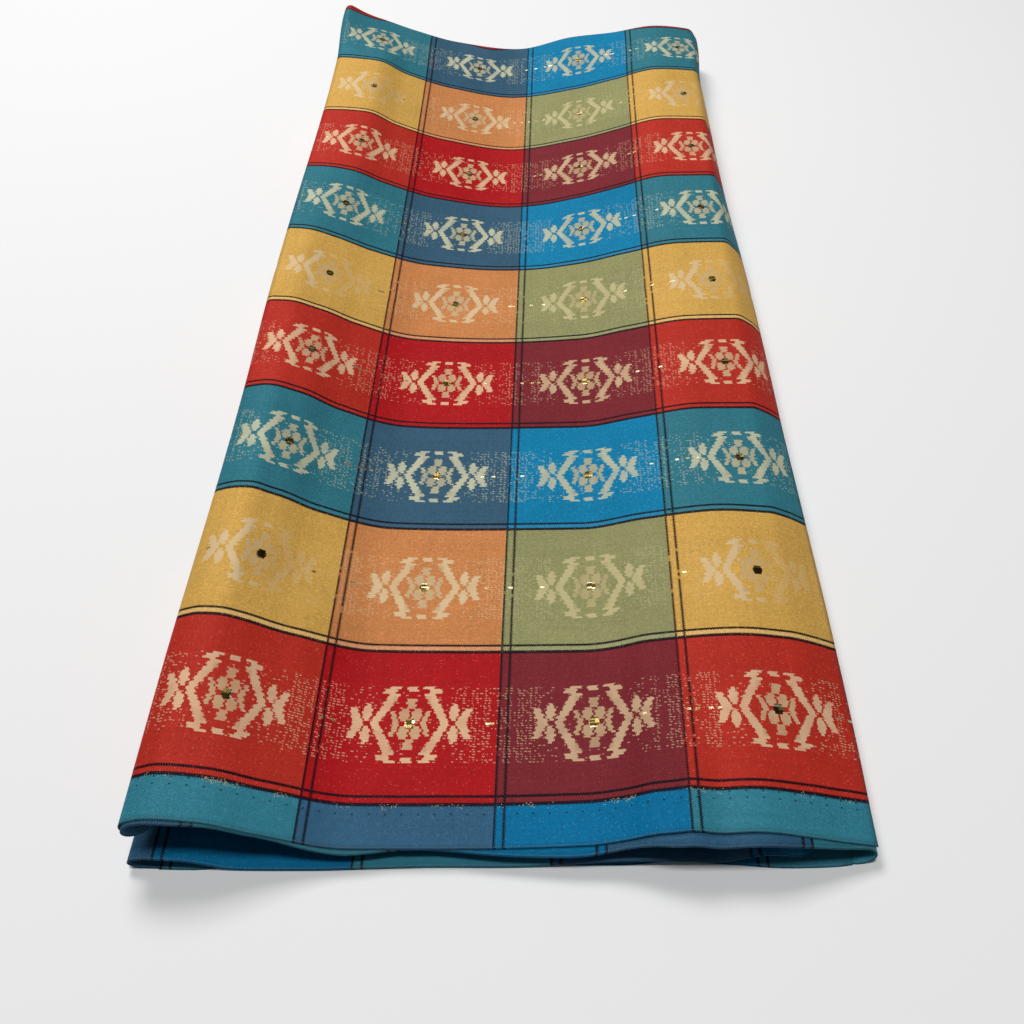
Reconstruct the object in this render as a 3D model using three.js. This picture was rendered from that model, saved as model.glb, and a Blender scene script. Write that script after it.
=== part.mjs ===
// A checked sarong, folded lengthways into a strip and once across at its far end, lying flat.
// Millimetres, +X to the right across the strip, +Y along it from the selvedge end to the far
// fold, +Z up. The origin is the bottom centre of the whole model's box.
//
// The strip's plies are walls. The top one is given by its heights above the surface in sections
// along the strip; each ply below it is made from the points of the ply above, moved in.

import * as THREE from 'three';

// ---- Driving dimensions ----

const PLY = 1.0; // thickness of one ply's wall
const GAP = 0.3; // clearance between plies
const SLANT = 0.0315; // how far along a selvedge runs for each millimetre across
const FOLD_AT = 572; // along the strip, where the far fold's round starts
const FOLD_REACH = 3; // least reach of the far fold beyond that
const FOLD_SWELL = 0.3; // further reach for each millimetre of the stack's height
const CENTRE_LINE = 1.2; // where the cloth's middle lies across the strip
const HEM_ROUND = 3; // radius at which the top ply turns down at its left edge
const HEM_HANG = 3; // how far it then hangs

const SECOND_FRONT = 1.5; // the second ply comes this far out from under the top ply's end
const LOWER_FRONT = 4.5; // the lower plies come this far out
const INNER_FRONT = 45; // the hidden plies start this far in
const INNER_ROUND = 14; // radius of their rounded rims

const HIDDEN_LEFT = -112; // the second ply's stretch on the lower one runs from here
const HIDDEN_RIGHT = -75; // to here
const LOWER_SEAM = -109; // where the lower ply meets the bottom one, across the strip
const LOWER_LEFTMOST = -118.5; // how far left its turned fold comes
const SEAM_FLAT = 2; // a turned fold lies flat for this far before its seam

// ---- Tables ----

// Places across the top ply, measured along the cloth from its middle.
const ACROSS = {
  leftTurn: -122,
  leftCrest: -114,
  leftShoulder: -99,
  leftFlank: -80,
  leftFoot: -50,
  valley: -12,
  rightFoot: 25,
  rightFlank: 50,
  rightCrest: 78,
  rightShoulder: 99,
  rightFall: 107,
  rightDrop: 116,
  rightHem: 122,
};

// Heights of the top ply above the surface, a row for each section and a column for each place:
// left turn, crest, shoulder, flank and foot, valley, right foot, flank, crest, shoulder, fall, drop, hem.
const TOP_SECTIONS = [
  { along: 0, heights: [21.6, 24, 22.3, 15.2, 6.8, 6.5, 7.8, 14.7, 15.2, 10.9, 8.8, 7.2, 5.8] },
  { along: 79, heights: [28, 30, 27.1, 18.4, 8.9, 7.7, 7.6, 13.4, 16.6, 14, 11.2, 7.8, 5.6] },
  { along: 205, heights: [32.8, 33.4, 28.6, 18.8, 9.2, 7.6, 7.8, 12.9, 18.8, 18.1, 15.1, 9.8, 6.2] },
  { along: 394, heights: [38.6, 36, 29.8, 21.9, 11.7, 8.2, 13, 18.2, 25.1, 24.2, 19.8, 12.2, 7.2] },
  { along: 520, heights: [42.6, 40, 34.7, 27.8, 17.1, 11.9, 16.7, 22.3, 28.9, 26.8, 21.4, 13.3, 8.4] },
  { along: 572, heights: [43.5, 41.6, 37, 30.6, 22.4, 19.6, 25.2, 27.8, 32, 30, 24.6, 16, 11] },
];

// Places across the lower ply, measured on the surface.
const LOWER_ACROSS = {
  leftTurn: -113,
  leftHump: -101,
  leftFoot: -84,
  left: -60,
  middle: 0,
  rightRise: 42,
  rightDip: 66,
  rightHump: 84,
  rightEnd: 98,
};

// Heights of the lower ply's top: left turn, hump and foot, left, middle, right rise, dip, hump, end.
const LOWER_SECTIONS = [
  { along: 0, heights: [7.3, 7.2, 3.4, 2.3, 2.3, 4.4, 3.2, 6.2, 2.4] },
  { along: 205, heights: [8.6, 8, 4.4, 2.5, 2.4, 3.8, 5, 6.4, 2.6] },
  { along: 572, heights: [11, 10, 7, 4, 3.5, 6, 8, 8.4, 3] },
];

// How far the second ply droops below the top one at the selvedge end, over the right ridge.
const DROOP = { depth: 3.4, middle: 70, halfWidth: 45, length: 90 };

const COLOURS = {
  top_panel: '#b5341f',
  far_fold: '#a83428',
  left_fold: '#35607c',
  second_panel: '#3f7f95',
  right_fold: '#2f7f93',
  lower_panel: '#1583b8',
  bottom_panel: '#2b8fa8',
  inner_layers: '#7a4a30',
};

// ---- Curves ----

// Slope at each table point for a smooth curve that does not overshoot.
function smoothSlopes(xs, ys, lastIsFlat) {
  const steps = xs.slice(1).map((x, i) => (ys[i + 1] - ys[i]) / (x - xs[i]));
  return xs.map((_, i) => {
    if (i === 0) return steps[0];
    if (i === xs.length - 1) return lastIsFlat ? 0 : steps[i - 1];
    const [before, after] = [steps[i - 1], steps[i]];
    return before * after > 0 ? (2 * before * after) / (before + after) : 0;
  });
}

// Height at x of the smooth curve through (xs, ys): cubic pieces with those slopes.
function smoothCurve(xs, ys, lastIsFlat = false) {
  const slopes = smoothSlopes(xs, ys, lastIsFlat);
  return (x) => {
    const inside = Math.min(Math.max(x, xs[0]), xs[xs.length - 1]);
    let i = 0;
    while (i < xs.length - 2 && inside > xs[i + 1]) i += 1;
    const width = xs[i + 1] - xs[i];
    const t = (inside - xs[i]) / width;
    const [t2, t3] = [t * t, t * t * t];
    return (
      (2 * t3 - 3 * t2 + 1) * ys[i] + (t3 - 2 * t2 + t) * width * slopes[i] +
      (3 * t2 - 2 * t3) * ys[i + 1] + (t3 - t2) * width * slopes[i + 1]
    );
  };
}

// The section at a place along the strip: a smooth curve across it through the table's heights,
// each height read from a smooth curve along the strip.
function sectionOf(places, sections) {
  const across = Object.values(places);
  const stations = sections.map((row) => row.along);
  const column = (i) => sections.map((row) => row.heights[i]);
  const alongCurves = across.map((_, i) => smoothCurve(stations, column(i), true));
  return (along) => smoothCurve(across, alongCurves.map((curve) => curve(along)));
}

const topSection = sectionOf(ACROSS, TOP_SECTIONS);
const lowerSection = sectionOf(LOWER_ACROSS, LOWER_SECTIONS);

// Every table place with evenly spaced ones between them, about spacing apart, or closeSpacing
// apart beyond the distance closeFrom on either side.
function spread(places, spacing, closeFrom = Infinity, closeSpacing = spacing) {
  const list = [];
  for (let i = 0; i < places.length - 1; i += 1) {
    const isClose = Math.abs(places[i] + places[i + 1]) / 2 > closeFrom;
    const count = Math.max(1, Math.round((places[i + 1] - places[i]) / (isClose ? closeSpacing : spacing)));
    for (let k = 0; k < count; k += 1) list.push(places[i] + ((places[i + 1] - places[i]) * k) / count);
  }
  return [...list, places[places.length - 1]];
}

// Unit normals of a path of (x, z) points, to the left of its direction.
function pathNormals(path) {
  return path.map((_, i) => {
    const before = path[Math.max(i - 1, 0)];
    const after = path[Math.min(i + 1, path.length - 1)];
    const tangent = new THREE.Vector2().subVectors(after, before).normalize();
    return new THREE.Vector2(-tangent.y, tangent.x);
  });
}

// The path moved by a distance along its normals, which may differ from point to point.
function moved(path, distance) {
  const normals = pathNormals(path);
  return path.map((point, i) => {
    const step = typeof distance === 'function' ? distance(i) : distance;
    return point.clone().addScaledVector(normals[i], step);
  });
}

// A round turn from one point to another: a cubic Bezier curve that leaves and arrives along the
// given directions, without its two ends.
function turn(from, leaving, to, arriving, bulge, count) {
  const curve = new THREE.CubicBezierCurve(
    from,
    from.clone().addScaledVector(leaving.clone().normalize(), bulge),
    to.clone().addScaledVector(arriving.clone().normalize(), -bulge),
    to,
  );
  return curve.getPoints(count).slice(1, -1);
}

// ---- The top ply's section ----

const TOP_PLACES = spread(Object.values(ACROSS), 13, 105, 4);

// Across the strip the heights come from the table, and each step across is what is left of the
// cloth's own width once the rise is taken out. At the left the ply turns down through an arc and hangs.
function topPath(along) {
  const height = topSection(along);
  const middle = TOP_PLACES.findIndex((place) => place >= 0);
  const path = TOP_PLACES.map((place) => new THREE.Vector2(0, height(place)));
  const stepAcross = (i) => {
    const width = TOP_PLACES[i + 1] - TOP_PLACES[i];
    const rise = path[i + 1].y - path[i].y;
    return Math.sqrt(Math.max(width ** 2 - rise ** 2, (0.1 * width) ** 2));
  };
  path[middle].x = CENTRE_LINE + TOP_PLACES[middle];
  for (let i = middle; i < path.length - 1; i += 1) path[i + 1].x = path[i].x + stepAcross(i);
  for (let i = middle - 1; i >= 0; i -= 1) path[i].x = path[i + 1].x - stepAcross(i);

  // The left turn: the direction swings from the section's own slope to straight down.
  const start = path[0];
  const heading = Math.atan2(start.y - path[1].y, path[1].x - start.x);
  const turnSteps = 5;
  const swing = (Math.PI / 2 + heading) / turnSteps;
  const hem = [start];
  for (let k = 0; k < turnSteps; k += 1) {
    const angle = heading - (k + 0.5) * swing;
    const chord = 2 * HEM_ROUND * Math.sin(swing / 2);
    const last = hem[0];
    hem.unshift(new THREE.Vector2(last.x - chord * Math.cos(angle), last.y + chord * Math.sin(angle)));
  }
  hem.unshift(new THREE.Vector2(hem[0].x, hem[0].y - HEM_HANG));
  return [...hem.slice(0, -1), ...path];
}

const HEM_POINTS = topPath(0).length - TOP_PLACES.length; // points before the table's first place

// ---- Solids ----

// A closed wall from two grids of points, its outer and its inner face, with rims all round.
// Rows run along the strip and columns across it, left to right as seen from outside.
function wall(outer, inner) {
  const rows = outer.length;
  const columns = outer[0].length;
  const positions = [...outer.flat(), ...inner.flat()].flatMap((point) => point.toArray());
  const at = (side, r, c) => side * rows * columns + r * columns + c;
  const indices = [];
  const quad = (a, b, c, d) => indices.push(a, b, c, a, c, d);
  for (let r = 0; r < rows - 1; r += 1) {
    for (let c = 0; c < columns - 1; c += 1) {
      quad(at(0, r, c), at(0, r, c + 1), at(0, r + 1, c + 1), at(0, r + 1, c));
      quad(at(1, r, c), at(1, r + 1, c), at(1, r + 1, c + 1), at(1, r, c + 1));
    }
    quad(at(0, r, 0), at(0, r + 1, 0), at(1, r + 1, 0), at(1, r, 0));
    quad(at(0, r + 1, columns - 1), at(0, r, columns - 1), at(1, r, columns - 1), at(1, r + 1, columns - 1));
  }
  for (let c = 0; c < columns - 1; c += 1) {
    quad(at(0, 0, c + 1), at(0, 0, c), at(1, 0, c), at(1, 0, c + 1));
    quad(at(0, rows - 1, c), at(0, rows - 1, c + 1), at(1, rows - 1, c + 1), at(1, rows - 1, c));
  }
  const geometry = new THREE.BufferGeometry();
  geometry.setAttribute('position', new THREE.Float32BufferAttribute(positions, 3));
  geometry.setIndex(indices);
  return geometry;
}

// A path's points set at a place along the strip; each selvedge and section runs at the slant.
function placed(path, along) {
  return path.map((point) => new THREE.Vector3(point.x, along + SLANT * point.x, point.y));
}

// A wall swept along the strip from an outer path at each station, its inner face a ply inside.
function sweptWall(pathAt, stations) {
  const outer = stations.map((along) => placed(pathAt(along), along));
  const inner = stations.map((along) => placed(moved(pathAt(along), -PLY), along));
  return wall(outer, inner);
}

// The stations along the strip that every ply shares, from its own first one to its own last.
const tableStations = TOP_SECTIONS.map((row) => row.along);
const STATIONS = [
  ...spread(tableStations.slice(0, -1), 60),
  ...spread(tableStations.slice(-2), 18).slice(1),
];
function stationsBetween(first, last) {
  return [first, ...STATIONS.filter((along) => along > first && along < last), last];
}

// The far fold: the top ply's last section goes round half ellipses as tall as the stack, and ends
// under it against the bottom ply.
function farFold() {
  const crest = topPath(FOLD_AT);
  const crestInside = moved(crest, -PLY);
  const foldSteps = 8;
  const round = (path, angle, thickness) =>
    path.map((point, i) => {
      const reach = FOLD_REACH + FOLD_SWELL * crest[i].y - GAP - thickness;
      const half = (point.y - thickness) / 2;
      const seam = (GAP * (1 + Math.cos(angle))) / 2;
      return new THREE.Vector3(
        point.x,
        FOLD_AT + SLANT * point.x + seam + reach * Math.sin(angle),
        thickness + half + half * Math.cos(angle),
      );
    });
  const angles = Array.from({ length: foldSteps + 1 }, (_, k) => (Math.PI * k) / foldSteps);
  return wall(
    angles.map((angle) => round(crest, angle, 0)),
    angles.map((angle) => round(crestInside, angle, PLY)),
  );
}

// The top ply's path moved in by a depth, and by the second ply's droop at the selvedge end.
function underTop(along, depth) {
  const fade = Math.max(1 - Math.max(along, 0) / DROOP.length, 0) ** 2;
  return moved(topPath(along), (i) => {
    const place = TOP_PLACES[Math.max(i - HEM_POINTS, 0)];
    const across = Math.min(Math.abs(place - DROOP.middle) / DROOP.halfWidth, 1);
    return -(depth + (DROOP.depth * fade * (1 + Math.cos(Math.PI * across))) / 2);
  });
}

// The second ply: from its hidden end it lies on the lower ply, turns round at the left, follows the
// top ply from below, and turns down at the right to end flat on the surface.
const LYING_PLACES = spread([HIDDEN_LEFT, HIDDEN_RIGHT], 9).reverse();
const LEFT_TURN_STEPS = 7;
const RIGHT_TURN_STEPS = 6;

function secondPath(along) {
  const lowerHeight = lowerSection(along);
  const lying = LYING_PLACES.map((x) => new THREE.Vector2(x, lowerHeight(x) + 1.5 * GAP));
  const under = underTop(along, PLY + GAP);
  const follow = under.slice(HEM_POINTS + 1, under.length - 1);

  const start = lying[lying.length - 1];
  const leftmost = topPath(along)[0].x + PLY + 1.5 * GAP;
  const leftTurn = turn(
    start, new THREE.Vector2().subVectors(start, lying[lying.length - 2]),
    follow[0], new THREE.Vector2().subVectors(follow[1], follow[0]),
    ((start.x + follow[0].x) / 2 - leftmost) / 0.75, LEFT_TURN_STEPS,
  );

  const end = follow[follow.length - 1];
  const heading = new THREE.Vector2().subVectors(end, follow[follow.length - 2]).normalize();
  const touchdown = new THREE.Vector2(end.x + 0.35 * end.y * heading.y, 0);
  const landing = new THREE.Vector2(touchdown.x - SEAM_FLAT, 0);
  const rightTurn = turn(end, heading, touchdown, new THREE.Vector2(-1, 0), 0.5 * end.y, RIGHT_TURN_STEPS);
  return [...lying, ...leftTurn, ...follow, ...rightTurn, touchdown, landing];
}

// That path cut into three stretches a gap apart: the left fold, the panel and the right fold.
const SECOND_STRETCHES = {
  left: (path, leftSeam) => path.slice(0, leftSeam + 1),
  panel: (path, leftSeam, rightSeam) => [
    gapAfter(path[leftSeam], path[leftSeam + 1]),
    ...path.slice(leftSeam + 1, rightSeam),
    gapAfter(path[rightSeam], path[rightSeam - 1]),
  ],
  right: (path, leftSeam, rightSeam) => path.slice(rightSeam),
};

function gapAfter(from, to) {
  return from.clone().lerp(to, GAP / from.distanceTo(to));
}

// One stretch of the second ply, swept along the strip.
function secondStretch(name) {
  const cut = (along, distance) => {
    const path = moved(secondPath(along), distance);
    const leftSeam = LYING_PLACES.length + LEFT_TURN_STEPS - 1;
    const rightSeam = path.length - RIGHT_TURN_STEPS - 2;
    return placed(SECOND_STRETCHES[name](path, leftSeam, rightSeam), along);
  };
  const stations = stationsBetween(-SECOND_FRONT, FOLD_AT - GAP);
  return wall(stations.map((along) => cut(along, 0)), stations.map((along) => cut(along, -PLY)));
}

// The lower ply: it starts flat on the surface, turns round at the left and runs to its right end.
function lowerPath(along) {
  const height = lowerSection(along);
  const places = spread(Object.values(LOWER_ACROSS), 14);
  const over = places.map((x) => new THREE.Vector2(x, height(x)));
  const seam = new THREE.Vector2(LOWER_SEAM, 0);
  const liftOff = new THREE.Vector2(LOWER_SEAM - SEAM_FLAT, 0);
  const bulge = ((liftOff.x + over[0].x) / 2 - LOWER_LEFTMOST) / 0.75;
  const leftTurn = turn(liftOff, new THREE.Vector2(-1, 0), over[0], new THREE.Vector2(1, 0), bulge, 6);
  return [seam, liftOff, ...leftTurn, ...over];
}

// The bottom ply: a flat sheet between the lower ply's seam and the second ply's.
function bottomPanel() {
  const left = LOWER_SEAM + GAP;
  const front = -LOWER_FRONT;
  const back = FOLD_AT - GAP;
  const rightAt = (along) => secondPath(along).at(-1).x - GAP;
  const stations = stationsBetween(front, back);
  const row = (along, z) => [left, 0, rightAt(along)].map((x) => new THREE.Vector2(x, z));
  const grid = (z) => stations.map((along) => placed(row(along, z), along));
  return wall(grid(PLY), grid(0));
}

// Share of the full thickness at a distance in from a rounded rim: a quarter circle, never under least.
function rounded(distance, least) {
  const short = 1 - THREE.MathUtils.clamp(distance / INNER_ROUND, 0, 1);
  return Math.max(Math.sqrt(1 - short ** 2), least);
}

// The hidden plies: one rounded solid between the second ply and the lower one, whose thickness
// dies away at its rims and inside the far fold.
function innerLayers() {
  const acrossSteps = 20;
  const over = [];
  const beneath = [];
  const addRows = (along, share, intoFold) => {
    const top = topPath(along);
    const ceiling = underTop(along, 2 * PLY + 4 * GAP);
    const lowerHeight = lowerSection(along);
    const left = top[0].x + 2 * PLY + 8;
    const right = top[top.length - 1].x - 2 * PLY - 8;
    const rows = [[], []];
    for (let k = 0; k <= acrossSteps; k += 1) {
      const x = (left + right) / 2 - ((right - left) / 2) * Math.cos((Math.PI * k) / acrossSteps);
      const highest = heightOn(ceiling, x);
      const onHidden = THREE.MathUtils.smoothstep(-x, 62, 72) * (PLY + GAP);
      const lowest = lowerHeight(x) + 3 * GAP + onHidden;
      const middle = (highest + lowest) / 2;
      const half = ((highest - lowest) / 2) * rounded(Math.min(x - left, right - x), 0.12) * share;
      const reach = FOLD_REACH + FOLD_SWELL * heightOn(top, x) - PLY - 5 * GAP;
      const y = along + SLANT * x + reach * intoFold;
      rows[0].push(new THREE.Vector3(x, y, middle + half));
      rows[1].push(new THREE.Vector3(x, y, middle - half));
    }
    over.push(rows[0]);
    beneath.push(rows[1]);
  };
  [0, 0.08, 0.3, 0.6, 1].forEach((inward) => {
    addRows(INNER_FRONT + inward * INNER_ROUND, rounded(inward * INNER_ROUND, 0.2), 0);
  });
  STATIONS.filter((along) => along > INNER_FRONT + INNER_ROUND + 5).forEach((along) => addRows(along, 1, 0));
  [0.35, 0.6, 0.8, 0.95].forEach((quarter) => {
    const angle = (quarter * Math.PI) / 2;
    addRows(FOLD_AT, Math.cos(angle), Math.sin(angle));
  });
  return wall(over, beneath);
}

// Height of a path at x, by straight lines between its points.
function heightOn(path, x) {
  const i = Math.min(Math.max(path.findIndex((point) => point.x >= x), 1), path.length - 1);
  const [a, b] = [path[i - 1], path[i]];
  return a.y + ((b.y - a.y) * (x - a.x)) / (b.x - a.x || 1);
}

// ---- The sarong ----

function piece(name, geometry) {
  const material = new THREE.MeshStandardMaterial({ color: COLOURS[name], roughness: 0.75, metalness: 0 });
  const mesh = new THREE.Mesh(geometry, material);
  mesh.name = name;
  return mesh;
}

const sarong = new THREE.Group();
sarong.add(
  piece('top_panel', sweptWall(topPath, STATIONS)),
  piece('far_fold', farFold()),
  piece('left_fold', secondStretch('left')),
  piece('second_panel', secondStretch('panel')),
  piece('right_fold', secondStretch('right')),
  piece('lower_panel', sweptWall(lowerPath, stationsBetween(-LOWER_FRONT, FOLD_AT - GAP))),
  piece('bottom_panel', bottomPanel()),
  piece('inner_layers', innerLayers()),
);

// The origin goes to the bottom centre of the whole box.
const box = new THREE.Box3().setFromObject(sarong);
const boxCentre = box.getCenter(new THREE.Vector3());
sarong.position.set(-boxCentre.x, -boxCentre.y, -box.min.z);

export default sarong;
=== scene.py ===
"""A checked, brocaded sarong cloth, folded lengthways into a strip and once across, lying flat.

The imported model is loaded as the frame. Each ply of the cloth is then worked out as a fine grid on
the form of its solid, with its folds and creases, and finished with one woven material that follows
the cloth itself. Sizes are in millimetres, +X across the strip and +Y along it from the selvedge
end, and are turned into metres when a mesh is made.
"""

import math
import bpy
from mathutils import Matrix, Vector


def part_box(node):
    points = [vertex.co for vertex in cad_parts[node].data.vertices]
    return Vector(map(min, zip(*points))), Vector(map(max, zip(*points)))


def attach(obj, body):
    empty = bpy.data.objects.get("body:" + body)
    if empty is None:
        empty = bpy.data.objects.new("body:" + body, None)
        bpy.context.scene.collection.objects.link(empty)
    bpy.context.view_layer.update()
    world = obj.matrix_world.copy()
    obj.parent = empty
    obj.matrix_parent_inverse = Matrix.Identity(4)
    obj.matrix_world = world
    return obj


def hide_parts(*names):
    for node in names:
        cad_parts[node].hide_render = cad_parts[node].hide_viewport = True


bl_info = {
    "name": "Folded Sarong",
    "version": (1, 0, 0),
    "blender": (4, 5, 0),
    "location": "View3D > Sidebar > Sarong",
    "description": "Builds a folded, checked and brocaded sarong cloth over its packed model",
    "category": "Add Mesh",
}

import bpy
import numpy as np
from mathutils import Matrix

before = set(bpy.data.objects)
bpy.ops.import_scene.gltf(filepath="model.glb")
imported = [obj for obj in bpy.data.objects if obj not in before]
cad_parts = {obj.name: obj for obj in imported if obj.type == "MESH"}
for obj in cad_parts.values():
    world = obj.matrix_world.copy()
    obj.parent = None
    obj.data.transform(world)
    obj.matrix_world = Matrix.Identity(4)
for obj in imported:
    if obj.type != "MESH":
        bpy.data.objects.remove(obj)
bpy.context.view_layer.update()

MM = 0.001

# ---- The folded cloth's form ----

PLY = 1.0  # wall of the solid plies, which sets where each ply lies
GAP = 0.3  # clearance between the solid plies
SLANT = 0.0315  # how far along a selvedge runs for each millimetre across
FOLD_AT = 572.0  # along the strip, where the far fold's round starts
FOLD_REACH = 3.0  # least reach of the far fold beyond that
FOLD_SWELL = 0.3  # further reach for each millimetre of the stack's height
CENTRE_LINE = 1.2  # where the cloth's middle lies across the strip
HEM_ROUND = 3.0  # radius at which the top ply turns down at its left edge
HEM_HANG = 1.2  # how far it then hangs
NESTED = 0.65  # how far under the top ply the second one lies
LOWER_FRONT = 4.5  # the solid's lower plies come this far out from the top ply's end
INNER_FRONT = 45.0  # the hidden plies start this far in
HIDDEN_LEFT = -112.0  # the second ply's stretch on the lower one runs from here
HIDDEN_RIGHT = -50.0  # to here
LOWER_SEAM = -109.0  # where the lower ply leaves the surface, across the strip
LOWER_LEFTMOST = -118.5  # how far left its turned fold comes
SEAM_FLAT = 2.0  # a turned fold lies flat for this far before it lifts
LEFT_STEPS = 26  # steps round the second ply's turns, left and right
RIGHT_STEPS = 14
LOWER_STEPS = 20  # and round the lower one's
TOP_LEFT = -121.0  # the top ply's first and last places across, a little inside the solid's
TOP_RIGHT = 119.3
TRIM_FROM = 70.0  # past here the cloth is drawn in to its own right edge
FAR_SPARE = 3.0  # the cloth goes this much further than the solid before the far fold
RECESS = 18.0  # how far in from the end the second ply's hidden stretch stays
FRONT_FADE = 90.0  # the plies' uneven fronts even out over this length
PUCKER_START = 528.0  # along the strip, where the far puckers start
FOLD_STEPS = 30  # steps round the far fold
HANG_STEPS = 3  # steps down the left hem's hanging part
TURN_REACH = 0.75  # a turn comes out by this share of its handles' length
SECOND_RISE = 0.35  # the second ply leaves the lower one at this slope
TUCK = 0.4  # the right turn lands this share of its height further in
RIGHT_BULGE = (0.85, 0.4)  # its handles' share of its height, at the selvedge end and far fold
TUBES = ((0.0, 0.0), (0.36, 9.0))  # the hidden tubes' inset shares, and their starts further in
TUBE_LEFT = 11.0  # how far in from the top ply's left edge they keep
TUBE_RIGHT = 6.0  # and from its right end
TUBE_SHRINK = 10.0  # a whole inset takes this off each side of a tube
TUBE_ROUND = 0.45  # power of the sine that rounds its sides

# Places across the top ply, measured along the cloth from its middle.
ACROSS = {
    "left_turn": -122, "left_crest": -114, "left_shoulder": -99, "left_flank": -80,
    "left_foot": -50, "valley": -12, "right_foot": 25, "right_flank": 50, "right_crest": 78,
    "right_shoulder": 99, "right_fall": 107, "right_drop": 116, "right_hem": 122,
}

# Heights of the top ply above the surface: for each place along the strip, one at each place across.
TOP_SECTIONS = {
    0: (22.2, 24.5, 22.6, 15.6, 6.6, 6.2, 7.8, 14.7, 15.2, 11, 8.9, 7, 5.4),
    79: (28, 30, 26.8, 18, 8.4, 7.4, 7.6, 13.4, 16.3, 14.2, 11.8, 8.2, 5.6),
    205: (31.4, 32.6, 28.3, 18.5, 8.2, 7.4, 7.8, 12.9, 18, 18, 15, 9.8, 6.2),
    300: (32.8, 32.2, 27.4, 18.7, 9.7, 7.2, 9.9, 15.6, 21, 21.4, 17.6, 10.8, 6.7),
    394: (33, 32.7, 30.1, 22.2, 12.6, 7.2, 12.5, 18.8, 25.4, 25.6, 20.2, 12.2, 7.2),
    520: (37.4, 37, 35.5, 27, 17.5, 11.3, 16.4, 22.4, 28.8, 27.6, 21.4, 13.3, 8.4),
    572: (45.5, 41.4, 37, 30.6, 22.4, 17.6, 25.2, 27.8, 32, 30, 24.6, 16, 11),
}

# Places across the lower ply, measured on the surface, and its heights in the same way.
LOWER_ACROSS = {
    "left_turn": -113, "left_hump": -101, "left_foot": -84, "left": -60, "middle": 0,
    "right_rise": 42, "right_dip": 66, "right_hump": 84, "right_end": 98,
}
LOWER_SECTIONS = {
    0: (5.6, 5.0, 0.95, 0.95, 0.95, 3.4, 2.5, 6.8, 1.3),
    205: (8.6, 8, 4.4, 2.5, 2.4, 3.8, 5, 6.4, 2.6),
    572: (11, 10, 7, 4, 3.5, 6, 8, 8.4, 3),
}

# How far the second ply droops below the top one at the selvedge end, over the right ridge.
DROOP = {"depth": 0.4, "middle": 66, "half_width": 42, "length": 90}

# The top ply's right edge across the cloth, at places along the strip.
RIGHT_EDGE = {0: 118.9, 90: 118.2, 150: 116.6, 210: 115.1, 300: 115.2, 368: 115.4, 430: 114.4,
              500: 111.7, 530: 109.8, 560: 109.8, 575: 112.0}

# How far each lower ply's selvedge comes out past the top ply's, at places across.
SECOND_FRONTS = {-118: 1.3, -108: 1.4, -90: 0.5, -77: 0.4, -62: 1.3, -52: 1.7, -30: -0.3, 2: 2.4,
                 21: 3.4, 37: 2.6, 58: 4.7, 80: 4.5, 104: 2.4, 116: 1.0}
LOWER_FRONTS = {-113: 2.5, -101: 2.9, -94: 3.2, -77: 3.7, -60: 3.8, -41: 3.4, -22: 3.0, 0: 3.2,
                18: 3.0, 42: 2.8, 66: 2.8, 84: 2.9, 92: 2.0, 98: -1.0}
BOTTOM_FRONTS = {-109: 2.9, -97: 3.2, -85: 2.2, 0: 1.8, 20: 2.2, 38: 2.5, 53: 1.2, 72: 2.5,
                 91: 3.9, 104: 3.6, 113: 2.5}

# Cloth taken up in small puckers just before the far fold, at places across.
FAR_TAKE_UP = {-121: 10, -105: 8, -90: 4.5, -50: 4.5, -30: 9, -10: 4.5, 50: 4.5, 75: 8, 105: 8}

# Creases of the top ply on the flat cloth: where each starts and ends, across and along, how high it
# stands (a trough is below zero) and how wide it is.
CREASES = (
    ((-96, 8), (-88, 150), -0.7, 9),
    ((-62, 60), (-50, 330), 0.6, 12),
    ((-20, 0), (-26, 95), 0.5, 8),
    ((42, -60), (38, 120), -0.9, 7),
    ((58, -40), (60, 60), 1.1, 5),
    ((68, -40), (69, 50), -0.7, 5),
    ((88, 30), (80, 210), 0.5, 9),
    ((-104, 210), (-92, 420), -0.6, 10),
    ((6, 250), (14, 470), -0.6, 13),
    ((66, 300), (58, 500), 0.6, 11),
    ((-117, 480), (-117, 668), 1.4, 10),
    ((-104, 20), (-109, 240), 0.9, 5),
    ((-96, 299), (96, 297), -0.9, 4),
)

# Which place across the flat cloth is at the strip's middle in the plies under the top one, and how
# far the second ply's checks are pulled narrower.
SECOND_MIDDLE = -163.0
SECOND_EASE = 0.966
LOWER_MIDDLE = 106.6
BOTTOM_MIDDLE = -22.0

# ---- The weave ----

# One quarter of the brocaded figure, from its centre: a flower, two small leaves, a bracket with a
# hooked end, an outer leaf and a fish tail. A strip runs along the cloth from its start to its end;
# then come its middle across, and its half width, at the two ends.
STRIPS = {
    "bar over the flower": (13.2, 15.4, 0, 0, 1.75, 1.75),
    "end petal": (6.3, 10.6, 0, 0, 1.3, 1.8),
    "inner leaf": (0.3, 5.4, 4.7, 6.3, 1.05, 0.7),
    "bracket": (0, 12.8, 12.15, 5.75, 1.4, 1.95),
    "spur": (12.8, 14.4, 8.3, 7.6, 2.2, 2.1),
    "hook": (14.4, 15.9, 6.2, 5.4, 2.0, 1.9),
    "fish tail": (0, 6.7, 17.5, 20.1, 1.9, 1.1),
}
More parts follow.
